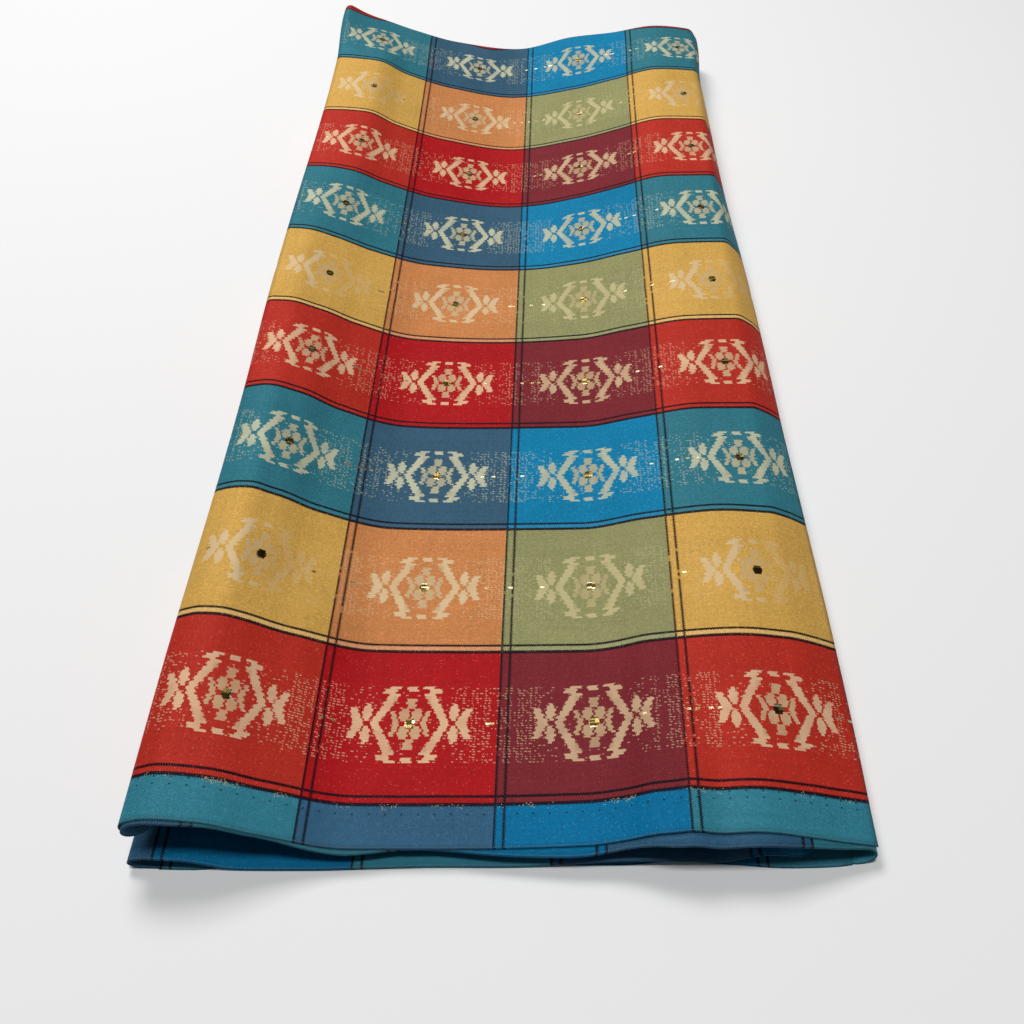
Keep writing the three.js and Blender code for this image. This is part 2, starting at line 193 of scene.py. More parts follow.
# A petal's middle along and across, and its half length and half width.
PETALS = {
    "side petal": (3.7, 2.15, 2.9, 1.75),
    "outer leaf": (4.6, 14.9, 3.3, 1.6),
}
PETAL_CORNER = 1.4  # cuts a petal's corners: one leaves a diamond, and two a rectangle
FIGURE_HALF_LENGTH = 15.9  # the loose floats keep within this band of each check
WEFT_STEP = 1.05  # height of one brocade weft, which steps the figure's edges
FLOAT_PITCH = 1.45  # from one column of loose floats to the next
TWILL_PITCH = 0.85  # from one twill line to the next, across
GRAIN = 0.45  # side of the smallest speckle of the cloth's colour
REPEAT = 3.0  # the colours repeat after this many checks
COLUMN_YARNS = ("slate", "bright", "teal")
PIN_ROWS = (3.6, 1.1)  # how far outside the border's line the two rows of pin holes lie
PIN_HALF = (0.34, 0.3)  # half a pin hole's size across and along
SIDES = (-92.0, 70.0)  # the second row of pin holes is only outside these places across
STITCH_PITCH = 0.8  # from one selvedge stitch to the next
FRAY_END = (0.32, 0.3)  # size of one frayed weft end
STRAND = (1.9, 0.62)  # size of one strand of the gold thread
KNOT = (1.8, 1.75)  # half size of the gold knot
GLINT_PITCH = 1.5  # length of one glint between the figures

# ---- The camera and lights ----

CAMERA_LENS = 42.8  # on a sensor 36 mm wide
CAMERA_PLACE = (0.01095, -0.4924, 0.34725)  # in metres
CAMERA_DOWN, CAMERA_YAW, CAMERA_ROLL = 43.74, 2.05, -0.577  # in degrees
WORLD_STRENGTH = 0.07
# Square soft lights that face the cloth: place and side in metres, and power in watts.
LIGHTS = {
    "Overhead softbox": ((-0.05, -0.56, 2.95), 0.6, 42.6),
    "Back softbox": ((-0.5, 0.8, 1.5), 0.7, 18.0),
}


# ---- Curves and paths, as whole arrays ----


def smooth_slopes(places, values, last_is_flat):
    """Slopes at the places of a smooth curve through values, along their last axis.

    Between two steps the slope is their harmonic mean, or zero where the values turn, so that the
    curve never overshoots; at the ends it is the nearest step's, or zero at a flat last end.
    """
    steps = np.diff(values) / np.diff(places)
    before, after = steps[..., :-1], steps[..., 1:]
    turns = before * after <= 0
    inner = np.where(turns, 0.0, 2 * before * after / np.where(turns, 1.0, before + after))
    last = np.zeros_like(steps[..., -1:]) if last_is_flat else steps[..., -1:]
    return np.concatenate([steps[..., :1], inner, last], axis=-1)


def smooth_curve(places, values, at, last_is_flat=False):
    """Values at the points in at, from cubic Hermite pieces through (places, values).

    The points are shared by every row of values, or are given for each row.
    """
    places, values = np.asarray(places, float), np.asarray(values, float)
    slopes = smooth_slopes(places, values, last_is_flat)
    inside = np.clip(at, places[0], places[-1])
    i = np.clip(np.searchsorted(places, inside) - 1, 0, len(places) - 2)
    width = places[i + 1] - places[i]
    t = (inside - places[i]) / width

    def picked(numbers, index):
        by_row = numbers.ndim > 1 and index.ndim > 1
        return np.take_along_axis(numbers, index, axis=-1) if by_row else numbers[..., index]

    return (
        (2 * t**3 - 3 * t**2 + 1) * picked(values, i)
        + (t**3 - 2 * t**2 + t) * width * picked(slopes, i)
        + (3 * t**2 - 2 * t**3) * picked(values, i + 1)
        + (t**3 - t**2) * width * picked(slopes, i + 1)
    )


def table_curve(table, at):
    """The smooth curve through a table of place: value."""
    return smooth_curve(list(table), list(table.values()), at)


def section_heights(places, sections, along, across):
    """Heights on the grid along x across: smooth curves along the strip, then across it."""
    stations = list(sections)
    columns = np.array(list(sections.values()), float).T
    rows = smooth_curve(stations, columns, along, last_is_flat=True).T
    return smooth_curve(list(places.values()), rows, across)


def spaced(first, last, spacing):
    """Evenly spaced numbers from first to last, about spacing apart."""
    return np.linspace(first, last, max(2, round(abs(last - first) / spacing) + 1))


def crease_heights(across, along):
    """Sum of the creases at each point of the flat cloth.

    Each is a bell curve of the distance from its line, and fades in and out as a squared sine.
    """
    total = np.zeros(np.broadcast(across, along).shape)
    for start, end, height, width in CREASES:
        start, end = np.array(start, float), np.array(end, float)
        length = np.linalg.norm(end - start)
        ahead_x, ahead_y = (end - start) / length
        ahead = (across - start[0]) * ahead_x + (along - start[1]) * ahead_y
        aside = (across - start[0]) * ahead_y - (along - start[1]) * ahead_x
        fade = np.sin(np.pi * np.clip(ahead / length, 0, 1)) ** 2
        total += height * fade * np.exp(-((aside / width) ** 2))
    return total


def unit(vectors):
    """Each vector divided by its own length."""
    return vectors / np.linalg.norm(vectors, axis=-1, keepdims=True)


def path_normals(paths):
    """Unit normals of paths (rows x points x 2), to the left of their direction."""
    padded = np.concatenate([paths[:, :1], paths, paths[:, -1:]], axis=1)
    tangent = unit(padded[:, 2:] - padded[:, :-2])
    return np.stack([-tangent[..., 1], tangent[..., 0]], axis=-1)


def distances(points, axis):
    """Distance along a grid from its first row (axis 0) or its first column (axis 1)."""
    steps = np.linalg.norm(np.diff(points, axis=axis), axis=-1)
    first = np.zeros_like(np.take(points, [0], axis=axis)[..., 0])
    return np.concatenate([first, np.cumsum(steps, axis=axis)], axis=axis)


def turn(start, leaving, end, arriving, bulge, count):
    """Round turns from start to end, one a row, without their two ends.

    Each is a cubic Bezier curve that leaves and arrives along the given directions, with its
    handles bulge long.
    """
    first = start + unit(leaving) * bulge
    second = end - unit(arriving) * bulge
    t = np.linspace(0, 1, count + 1)[1:-1, None]
    shares = ((1 - t) ** 3, 3 * t * (1 - t) ** 2, 3 * t**2 * (1 - t), t**3)
    corners = (start, first, second, end)
    return sum(share * corner[:, None, :] for share, corner in zip(shares, corners))


def top_path(along, across):
    """The top ply's sections (rows x points x 2) at places along and across the cloth.

    Heights come from the table and the creases. Each step across is what is left of the cloth's
    own width once the rise is taken out, counted from the middle.
    """
    across = drawn_in(along, across)
    heights = section_heights(ACROSS, TOP_SECTIONS, along, across)
    heights += crease_heights(across, along[:, None])
    width, rise = np.diff(across, axis=1), np.diff(heights, axis=1)
    steps = np.sqrt(np.maximum(width**2 - rise**2, (0.1 * width) ** 2))
    x = np.concatenate([np.zeros((len(along), 1)), np.cumsum(steps, axis=1)], axis=1)
    middle = int(np.argmax(across[0] >= 0))
    x += CENTRE_LINE + (across - x)[:, middle : middle + 1]
    return np.stack([x, heights], axis=-1)


def drawn_in(along, across):
    """The places across for each row, with those past the right ridge drawn in to the right edge.

    What lies past the ridge is shortened by one share all over, so the last place is the edge's.
    """
    edge = table_curve(RIGHT_EDGE, along)[:, None]
    share = np.maximum(across - TRIM_FROM, 0) / (TOP_RIGHT - TRIM_FROM)
    return across + share * (edge - TOP_RIGHT)


def left_hem(path, steps):
    """The top ply's turned-down left hem for each section: its points, and their cloth lengths.

    The direction swings from the section's own slope to straight down round an arc, and the cloth
    then hangs. With the direction at angle a and h its first value, the arc is at
    start - round * (sin h - sin a) across and start + round * (cos a - cos h) up.
    """
    start, after = path[:, 0], path[:, 1]
    heading = np.arctan2(start[:, 1] - after[:, 1], after[:, 0] - start[:, 0])[:, None]
    share = np.linspace(0, 1, steps + 1)[None, 1:]
    angle = heading - share * (heading + np.pi / 2)
    x = start[:, :1] - HEM_ROUND * (np.sin(heading) - np.sin(angle))
    z = start[:, 1:] + HEM_ROUND * (np.cos(angle) - np.cos(heading))
    hang = np.linspace(0, HEM_HANG, HANG_STEPS + 1)[None, 1:]
    x = np.concatenate([x, np.repeat(x[:, -1:], HANG_STEPS, axis=1)], axis=1)
    z = np.concatenate([z, z[:, -1:] - hang], axis=1)
    arc = HEM_ROUND * (heading - angle)
    lengths = np.concatenate([arc, hang + HEM_ROUND * (heading + np.pi / 2)], axis=1)
    return np.stack([x, z], axis=-1)[:, ::-1], -lengths[:, ::-1]


def under_top(along, across, depth):
    """The top ply's sections moved in by a depth, and by the second ply's droop."""
    fade = np.maximum(1 - np.maximum(along, 0) / DROOP["length"], 0) ** 2
    near = np.minimum(np.abs(across - DROOP["middle"]) / DROOP["half_width"], 1)
    droop = DROOP["depth"] * fade[:, None] * (1 + np.cos(np.pi * near))[None, :] / 2
    path = top_path(along, across)
    return path - path_normals(path) * (depth + droop)[..., None]


def left_edge(along):
    """How far left the top ply comes, at each place along, from a coarse grid of its left half."""
    path = top_path(along, spaced(TOP_LEFT, 4, 4.0))
    return left_hem(path, 6)[0][:, 0, 0]


def lower_sections(along, across):
    """The lower ply's sections (rows x points x 2), with their heights from its table."""
    heights = section_heights(LOWER_ACROSS, LOWER_SECTIONS, along, across)
    return np.stack([np.broadcast_to(across, heights.shape), heights], axis=-1)


def second_path(along, spacing):
    """The second ply's sections and its front at each point along them.

    A section is its hidden stretch, the left turn, the stretch under the top ply and the right turn.
    """
    hidden = spaced(HIDDEN_RIGHT, HIDDEN_LEFT + 5, spacing)
    lying = lower_sections(along, hidden) + (0, 1.5 * GAP)
    places = spaced(TOP_LEFT + 4, TOP_RIGHT - 3, spacing)
    follow = under_top(along, places, NESTED)
    leftmost = left_edge(along) + 1.0
    bulge = ((lying[:, -1, 0] + follow[:, 0, 0]) / 2 - leftmost) / TURN_REACH
    rising, arriving = np.array([[-1.0, SECOND_RISE]]), follow[:, 1] - follow[:, 0]
    left = turn(lying[:, -1], rising, follow[:, 0], arriving, bulge[:, None], LEFT_STEPS)
    end = follow[:, -1]
    heading = unit(end - follow[:, -2])
    touchdown = np.stack([end[:, 0] - TUCK * end[:, 1], np.zeros(len(along))], axis=-1)
    inward = np.array([[-1.0, 0.0]])
    bulge = np.interp(along, (0, FOLD_AT), RIGHT_BULGE)[:, None] * end[:, 1:]
    right = turn(end, heading, touchdown, inward, bulge, RIGHT_STEPS)
    landing = touchdown + inward * SEAM_FLAT
    path = np.concatenate([lying, left, follow, right, touchdown[:, None], landing[:, None]], axis=1)

    # Its front: well in where it lies hidden, level with the bottom ply's where it lands.
    over = table_curve(SECOND_FRONTS, places)
    landed = table_curve(BOTTOM_FRONTS, touchdown[:1, 0])
    share = np.linspace(0, 1, LEFT_STEPS + 1)[1:-1]
    falling = np.linspace(0, 1, RIGHT_STEPS + 1)[1:-1]
    fronts = np.concatenate([
        np.full(len(hidden), -RECESS),
        over[0] - (RECESS + over[0]) * (1 - share) ** 4,
        over,
        over[-1] + (landed - over[-1]) * falling,
        landed, landed,
    ])
    return path, fronts


def lower_path(along, spacing):
    """The lower ply's sections: flat on the surface, the left turn, then over to its right end."""
    places = spaced(LOWER_ACROSS["left_turn"], LOWER_ACROSS["right_end"], spacing)
    over = lower_sections(along, places)
    flat = np.zeros((len(along), 2, 2))
    flat[:, :, 0] = LOWER_SEAM, LOWER_SEAM - SEAM_FLAT
    bulge = ((flat[:, 1, 0] + over[:, 0, 0]) / 2 - LOWER_LEFTMOST) / TURN_REACH
    right = np.array([[1.0, 0.0]])
    left = turn(flat[:, 1], -right, over[:, 0], right, bulge[:, None], LOWER_STEPS)
    return np.concatenate([flat, left, over], axis=1)


# ---- Grids and meshes ----


def swept(paths, along, fronts=0.0):
    """Paths set at their places along the strip, slanted: rows x points x (across, along, up).

    The first row comes forward by the fronts, and the rows after it by the square of what is left
    of the length over which they even out.
    """
    left = np.maximum(1 - along / FRONT_FADE, 0)[:, None] ** 2
    y = along[:, None] + SLANT * paths[..., 0] - fronts * left
    return np.stack([paths[..., 0], y, paths[..., 1]], axis=-1)


def to_frame(points):
    """The CAD source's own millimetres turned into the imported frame's metres.

    The bottom ply's lowest corner is at a known place in both, which gives the shift.
    """
    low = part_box("bottom_panel")[0]
    corner = LOWER_SEAM + GAP
    shift = np.array([low.x - corner * MM, low.y - (SLANT * corner - LOWER_FRONT) * MM, 0.0])
    return points * MM + shift


def cloth_object(name, grids, nodes):
    """One ply, or a few alike, as a mesh of quads that stands for its CAD nodes.

    Each grid is (points, weave): rows x columns x 3 places in millimetres, and rows x columns x 2
    places on the flat cloth, across and along, which become the UV map in metres.
    """
    scene = bpy.context.scene
    vertices, faces, weaves, first = [], [], [], 0
    for points, weave in grids:
        rows, columns = points.shape[:2]
        index = first + np.arange(rows * columns).reshape(rows, columns)
        quads = np.stack([index[:-1, :-1], index[:-1, 1:], index[1:, 1:], index[1:, :-1]], axis=-1)
        vertices.append(to_frame(points.reshape(-1, 3)))
        weaves.append(weave.reshape(-1, 2) * MM)
        faces.append(quads.reshape(-1, 4))
        first += rows * columns
    faces = np.concatenate(faces)
    mesh = bpy.data.meshes.new(name)
    mesh.from_pydata(np.concatenate(vertices).tolist(), [], faces.tolist())
    layer = mesh.uv_layers.new(name="Weave")
    layer.data.foreach_set("uv", np.concatenate(weaves)[faces.ravel()].ravel().astype(np.float32))
    mesh.polygons.foreach_set("use_smooth", np.ones(len(faces), bool))
    mesh.materials.append(woven_material(scene.sarong_cloth, scene.sarong_colours))
    mesh.update()
    ply = bpy.data.objects.new(name, mesh)
    scene.collection.objects.link(ply)
    wall = ply.modifiers.new("Cloth thickness", "SOLIDIFY")
    wall.thickness = scene.sarong_cloth.thickness * MM
    wall.offset = -1.0
    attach(ply, "root")
    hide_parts(*nodes)
    return ply


# ---- The woven material ----


def feed(sockets, values):
    """Give each socket its value: a field or another node's output is linked, a number is set."""
    for socket, value in zip(sockets, values):
        value = value.socket if isinstance(value, Field) else value
        if isinstance(value, bpy.types.NodeSocket):
            socket.id_data.links.new(value, socket)
        else:
            socket.default_value = value


def feed_named(node, values):
    """The same for a node's sockets by name."""
    feed([node.inputs[name] for name in values], values.values())


def maths(operation):
    """A method of Field that adds one Math node."""

    def method(self, *others):
        node = self.tree.nodes.new("ShaderNodeMath")
        node.operation = operation
        feed(node.inputs, (self, *others))
        return Field(self.tree, node.outputs[0])

    return method


class Field:
    """A number that varies over the cloth, held by a node's output. Arithmetic adds Math nodes."""

    def __init__(self, tree, socket):
        self.tree = tree
        self.socket = socket

    __add__ = maths("ADD")
    __sub__ = maths("SUBTRACT")
    __mul__ = maths("MULTIPLY")
    __truediv__ = maths("DIVIDE")
    power = maths("POWER")
    size = maths("ABSOLUTE")
    floor = maths("FLOOR")
    fraction = maths("FRACT")
    modulo = maths("FLOORED_MODULO")
    below = maths("LESS_THAN")
    above = maths("GREATER_THAN")
    near = maths("COMPARE")
    either = maths("MAXIMUM")

    def within(self, reach):
        """One where it is nearer to zero than reach."""
        return self.size().below(reach)

    def rest(self):
        """What it leaves of one."""
        return self * -1.0 + 1.0

    def from_middle(self, pitch):
        """Where it lies in its step of this pitch, from -0.5 to 0.5."""
        return (self / pitch).fraction() - 0.5

    def snapped(self, step):
        """The middle of the step that the number falls in."""
        return ((self / step).floor() + 0.5) * step

    def eased(self, low, high, at_low=0.0, at_high=1.0):
        """at_low up to low, at_high from high on, and a smooth change between."""
        node = self.tree.nodes.new("ShaderNodeMapRange")
        node.interpolation_type = "SMOOTHSTEP"
        feed(node.inputs, (self, low, high, at_low, at_high))
        return Field(self.tree, node.outputs[0])


def noise_field(kind, output, across, along, seed, settings):
    """An output of one kind of noise node, at the place (across, along, seed)."""
    place = across.tree.nodes.new("ShaderNodeCombineXYZ")
    feed(place.inputs, (across, along, seed))
    noise = across.tree.nodes.new(kind)
    feed_named(noise, {"Vector": place.outputs[0], **settings})
    return Field(across.tree, noise.outputs[output])


def random_field(across, along, seed):
    """A random number from 0 to 1 for each pair of values of across and along."""
    return noise_field("ShaderNodeTexWhiteNoise", "Value", across, along, seed, {})


def random_cells(across, along, size, seed):
    """A random number for each cell of the cloth of this size, across and along."""
    return random_field((across / size[0]).floor(), (along / size[1]).floor(), seed)


def soft_field(across, along, detail, seed):
    """Smooth noise from about 0.2 to 0.8 over the scaled place (across, along)."""
    settings = {"Scale": 1.0, "Detail": detail}
    return noise_field("ShaderNodeTexNoise", "Fac", across, along, seed, settings)


def tinted(factor, below, over):
    """Colour below with colour over laid on it by a factor. Each is a socket or a plain colour."""
    node = factor.tree.nodes.new("ShaderNodeMix")
    node.data_type = "RGBA"
    given = [c if isinstance(c, bpy.types.NodeSocket) else (*c, 1.0) for c in (below, over)]
    feed([node.inputs[i] for i in (0, 6, 7)], (factor, *given))
    return node.outputs[2]


def chosen(kind, colours):
    """The colour whose number is kind, from three, as a ramp with steps."""
    node = kind.tree.nodes.new("ShaderNodeValToRGB")
    ramp = node.color_ramp
    ramp.interpolation = "CONSTANT"
    ramp.elements.new(2 / REPEAT)
    for i, colour in enumerate(colours):
        ramp.elements[i].position = i / REPEAT
        ramp.elements[i].color = (*colour, 1.0)
    feed(node.inputs, [(kind + 0.5) / REPEAT])
    return node.outputs[0]


def adjusted(tree, colour, **changes):
    """A colour with its saturation or value multiplied."""
    node = tree.nodes.new("ShaderNodeHueSaturation")
    feed_named(node, {"Color": colour, **changes})
    return node.outputs[0]


def figure_field(across, along):
    """One where the brocaded figure covers the cloth, at a place from the check's centre."""
    aside, ahead = across.size(), along.size()
    covered = None
    for start, end, middle_start, middle_end, half_start, half_end in STRIPS.values():
        length = end - start
        share = (ahead - start) / length
        middle = share * (middle_end - middle_start) + middle_start
        half = share * (half_end - half_start) + half_start
        inside = (aside - middle).within(half) * ahead.near(start + length / 2, length / 2)
        covered = inside if covered is None else covered.either(inside)
    for middle_along, middle_across, half_length, half_width in PETALS.values():
        wide = (aside - middle_across).size() / half_width
        long = (ahead - middle_along).size() / half_length
        inside = wide.below(1.0) * long.below(1.0) * (wide + long).below(PETAL_CORNER)
        covered = covered.either(inside)
    return covered


def woven_material(cloth, colours):
    """The sarong's cloth: checks, double lines, brocaded figures, loose floats, twill and sheen.

    Everything follows the UV map, which holds each point's place on the flat cloth in metres.
    """
    name = "Checked brocade"
    material = bpy.data.materials.get(name) or bpy.data.materials.new(name)
    material.use_nodes = True
    tree = material.node_tree
    tree.nodes.clear()
    weave = tree.nodes.new("ShaderNodeUVMap")
    weave.uv_map = "Weave"
    split = tree.nodes.new("ShaderNodeSeparateXYZ")
    feed(split.inputs, [weave.outputs[0]])
    across = Field(tree, split.outputs[0]) * (1 / MM)
    along = Field(tree, split.outputs[1]) * (1 / MM)

    # Which check: columns start at the left line of each pair, rows at the nearer line.
    check, pair = cloth.check, cloth.line_pair
    column_place = (across - cloth.first_line + pair / 2) / check
    row_place = (along - cloth.border) / check
    column, row = column_place.floor(), row_place.floor()
    column_kind, row_kind = column.modulo(REPEAT), row.modulo(REPEAT)
    is_bright, is_teal = column_kind.near(1.0, 0.4), column_kind.near(2.0, 0.4)
    is_yellow, is_blue = row_kind.near(1.0, 0.4), row_kind.near(2.0, 0.4)
    in_column = column_place.fraction() * check
    in_row = row_place.fraction() * check
    from_border = along - cloth.border
    on_border = along.below(cloth.border)
    off_border = on_border.rest()

    # Ground colours: the row's yarn crossed with the column's.
    reds, yellows, blues, borders = [
        chosen(column_kind, [getattr(colours, f"{yarn}_{name}") for name in COLUMN_YARNS])
        for yarn in ("red", "yellow", "blue", "border")
    ]
    ground = tinted(is_blue, tinted(is_yellow, reds, yellows), blues)
    ground = tinted(on_border, ground, borders)

    # Slubs and uneven dye, as streaks along each yarn, with the twill and the threads' own speckle.
    weft_streak = soft_field(across * 0.02, along * 0.9, 3.0, seed=1.0)
    warp_streak = soft_field(across * 0.9, along * 0.02, 3.0, seed=5.0)
    blotch = soft_field(across * 0.03, along * 0.03, 2.0, seed=9.0)
    twill_line = (across + along).from_middle(TWILL_PITCH).size().eased(0.12, 0.42)
    thread = random_cells(across, along, (GRAIN, GRAIN), seed=2.0)
    shade = (weft_streak - 0.5) * 0.22 + (warp_streak - 0.5) * 0.18 + (blotch - 0.5) * 0.25
    shade = shade + (twill_line - 0.5) * 0.42 + (thread - 0.5) * 0.3
    ground = adjusted(tree, ground, Value=shade + 1.0)
    between_lines = in_row.below(pair) * off_border * (is_yellow * 0.45 + is_blue * 0.2)
    speck = (thread.above(0.98) * 0.32).either(between_lines)
    ground = tinted(speck, ground, adjusted(tree, ground, Saturation=0.82, Value=1.35))

    # Yarn colour of the figures and floats in each row.
    on_red = tinted(is_bright, colours.float_on_red, colours.float_on_maroon)
    on_yellow = tinted(is_bright, colours.float_on_yellow, colours.float_on_sage)
    on_blue = tinted(is_bright, colours.float_on_blue, colours.float_on_bright)
    float_colour = tinted(is_blue, tinted(is_yellow, on_red, on_yellow), on_blue)

    # The brocaded figure, its edges toothed as every other weft is set aside, and a little uneven.
    weft = (along / WEFT_STEP).floor()
    odd = (weft * 0.5).fraction()
    jitter = (random_field(weft, column, seed=3.0) - 0.5) * 0.5 + (odd - 0.25) * 0.9
    from_centre = in_column - (check + pair) / 2
    from_column = from_centre + jitter
    from_row = in_row.snapped(WEFT_STEP) - check / 2
    figure = figure_field(from_column, from_row) * off_border
    in_weft = along.from_middle(WEFT_STEP).size()

    # Loose floats in the figure's band, in columns, thicker towards the column lines.
    off_centre = from_centre.size()
    in_band = from_row.within(FIGURE_HALF_LENGTH) * off_border
    tick_column = (across / FLOAT_PITCH).floor()
    column_share = random_field(tick_column, row, seed=7.0).eased(0.0, 1.0, 0.3, 1.4)
    patches = soft_field(across * 0.16, along * 0.22, 1.0, seed=41.0).eased(0.35, 0.65, 0.8, 1.1)
    density = off_centre.eased(8.0, 25.0, 0.1, 0.8) * column_share * patches
    tick = random_field(tick_column, weft, seed=11.0).below(density)
    half_tick = random_field(tick_column, weft, seed=12.0).eased(0.0, 1.0, 0.1, 0.36)
    nudge = (random_field(tick_column, weft, seed=14.0) - 0.5) * 0.5
    tick_across = (across.from_middle(FLOAT_PITCH) + nudge).size() - half_tick
    tick_high = (along / WEFT_STEP + nudge * 0.8).fraction() - 0.5
    floats = tick * tick_across.below(0.0) * tick_high.within(0.2) * in_band

    # The flower's yarn is darker, and painted shade darkens the figure along each weft's edge, in the
    # gaps between the brocade wefts. On the golden checks the figure fades towards the right: painted
    # sheen that washes it out there.
    flower = off_centre.eased(6.0, 7.0, 0.3, 0.0) * from_row.size().eased(10.8, 11.8, 1.0, 0.0)
    figure_colour = tinted(flower, float_colour, colours.flower_yarn_and_weft_shade)
    # Painted shade in the gaps between the brocade wefts.
    figure_colour = tinted(in_weft.eased(0.3, 0.5, 0.0, 0.14), figure_colour, colours.flower_yarn_and_weft_shade)
    golden = is_yellow * is_teal
    # Painted sheen: the figure's cover fades towards the right on the golden checks, where the sheen
    # washes it out.
    painted_sheen_fade = golden * from_column.eased(-8.0, 8.0, 0.05, 0.7)
    uneven = soft_field(across * 0.12, along * 0.12, 1.0, seed=43.0).eased(0.3, 0.6, 0.82, 1.0)
    cover = painted_sheen_fade.rest() * uneven * cloth.figure_cover
    colour = tinted(figure * cover, ground, figure_colour)
    colour = tinted(floats * (golden * -0.6 + 1.0) * cloth.float_cover, colour, float_colour)

    # Double lines along and across, with saw-toothed edges where the twill crosses them. Brocade
    # wefts cross the column lines here and there and break them.
    tooth = along.from_middle(TWILL_PITCH) * 0.75
    row_tooth = across.from_middle(TWILL_PITCH) * 0.4
    half = cloth.line_width / 2
    column_line = (in_column - half + tooth).within(half)
    column_line = column_line.either((in_column - pair - half + tooth).within(half))
    crossing = (in_column / 2.0).floor() + column * 7.0
    crossed = random_field((along / 1.6).floor(), crossing, seed=23.0).below(0.1) * in_band
    column_line = column_line * (crossed * -0.6 + 1.0)
    row_line = (in_row + row_tooth).within(half * 1.5)
    row_line = row_line.either((in_row - check + row_tooth).within(half * 1.5))
    row_line = row_line.either((in_row - pair + row_tooth).within(half * 1.2))
    breaks = random_cells(across, along, (0.6, 0.6), seed=4.0)
    lines = column_line.either(row_line) * breaks.eased(0.0, 0.2, 0.8, 1.0)
    colour = tinted(lines * 0.97, colour, colours.line)

    # The selvedge: a dark last thread, darkened further by painted shade of the gap under the ply's
    # edge, and pale stitches of the weft turning back beside it.
    stitch = across.from_middle(STITCH_PITCH).within(0.22) * (along - 0.65).within(0.28)
    colour = tinted(stitch * 0.3, colour, colours.stitch)
    # Painted shade along the ply's edge, laid over its dark last thread.
    colour = tinted(along.below(0.3) * 0.4, colour, colours.line)

    # Pin holes in the selvedge strip, and pale frayed weft ends under its line.
    pin_column = across.from_middle(cloth.pin_spacing).size() * cloth.pin_spacing
    outer, inner = [(from_border + inset).within(PIN_HALF[1]) for inset in PIN_ROWS]
    at_sides = across.below(SIDES[0]).either(across.above(SIDES[1]))
    pins = pin_column.below(PIN_HALF[0]) * outer.either(inner * at_sides)
    colour = tinted(pins * 0.7, colour, colours.line)
    at_left = (across + 88.0).size().eased(14.0, 24.0, 1.0, 0.3)
    fray_patch = soft_field(across * 0.07, along * 0.0, 1.0, seed=21.0).eased(0.48, 0.6) * at_left
    fray = random_cells(across, along, FRAY_END, seed=13.0)
    under_line = (from_border + 0.8).size().eased(0.2, 1.5, 0.42, 0.0)
    colour = tinted(fray.below(under_line * fray_patch) * 0.6, colour, colours.frayed)

    # Gold thread: a knot at each figure's centre and glints along the figures' middle weft.
    strand = random_cells(across, along, STRAND, seed=17.0)
    knot = ((from_centre / KNOT[0]).power(4.0) + (from_row / KNOT[1]).power(4.0)).below(1.0)
    glint = random_field((across / GLINT_PITCH).floor(), row, seed=19.0).below(0.16)
    glint = glint * (in_row - check / 2).within(0.45) * off_centre.above(17.0) * off_border
    gold = (knot * off_border).either(glint)
    lit = strand.eased(0.45, 0.85).either(glint * 0.9)
    sparkling = strand.above(0.93).either(glint * strand.above(0.5))
    gold_colour = tinted(lit, colours.gold_shadow, colours.gold)
    colour = tinted(gold, colour, tinted(sparkling, gold_colour, colours.gold_spark))

    lie = tree.nodes.new("ShaderNodeTangent")
    lie.direction_type = "UV_MAP"
    lie.uv_map = "Weave"
    wrinkle = soft_field(across * 0.035, along * 0.022, 2.0, seed=31.0)
    height = twill_line * 0.03 + thread * 0.015 - pins * 0.15 + wrinkle * 1.2
    bump = tree.nodes.new("ShaderNodeBump")
    feed_named(bump, {"Strength": 1.0, "Distance": MM, "Height": height})
    shader = tree.nodes.new("ShaderNodeBsdfPrincipled")
    feed_named(shader, {
        "Base Color": colour,
        "Roughness": gold.eased(0.0, 1.0, 0.68, 0.35) - figure * 0.05,
        "Metallic": gold * 0.72 + 0.13,
        "Anisotropic": 0.8,
        "Anisotropic Rotation": 0.25,
        "Tangent": lie.outputs[0],
        "Specular IOR Level": 0.1,
        "Sheen Weight": 0.02,
        "Sheen Roughness": 0.4,
        "Normal": bump.outputs[0],
    })
    output = tree.nodes.new("ShaderNodeOutputMaterial")
    feed_named(output, {"Surface": shader.outputs[0]})
    return material


# ---- Sizes and colours that can be changed ----


def span(name, description, default, least=0.01):
    """A size or place in millimetres."""
    description += ", in millimetres"
    return bpy.props.FloatProperty(name=name, description=description, default=default, min=least)


def portion(name, description, default):
    """A share, from none to all."""
    return bpy.props.FloatProperty(
        name=name, description=description, default=default, min=0, max=1, subtype="FACTOR"
    )


def dye(name, description, default):
    """A colour, as linear red, green and blue."""
    return bpy.props.FloatVectorProperty(
        name=name, description=description, default=default, subtype="COLOR", size=3, min=0, max=1
    )


class SarongCloth(bpy.types.PropertyGroup):
    check: span("Check", "Side of one check", 63.0)
    border: span("Border", "Width of the plain strip at the selvedge", 16.0)
    line_pair: span("Line pair", "Between the two lines of a pair", 3.0)
    line_width: span("Line width", "Width of one line", 0.9)
    pin_spacing: span("Pin spacing", "Between the selvedge's pin holes", 5.3)
    thickness: span("Cloth thickness", "Thickness of one ply", 0.45)
    grid: span("Grid", "Spacing of the top ply's grid", 2.2)
    first_line: span("First line pair", "Its middle, from the cloth's own middle", -66.4, -200.0)
    figure_cover: portion("Figure cover", "How fully the figure's yarn hides the ground", 0.92)
    float_cover: portion("Float cover", "How fully a loose float hides the ground", 0.6)


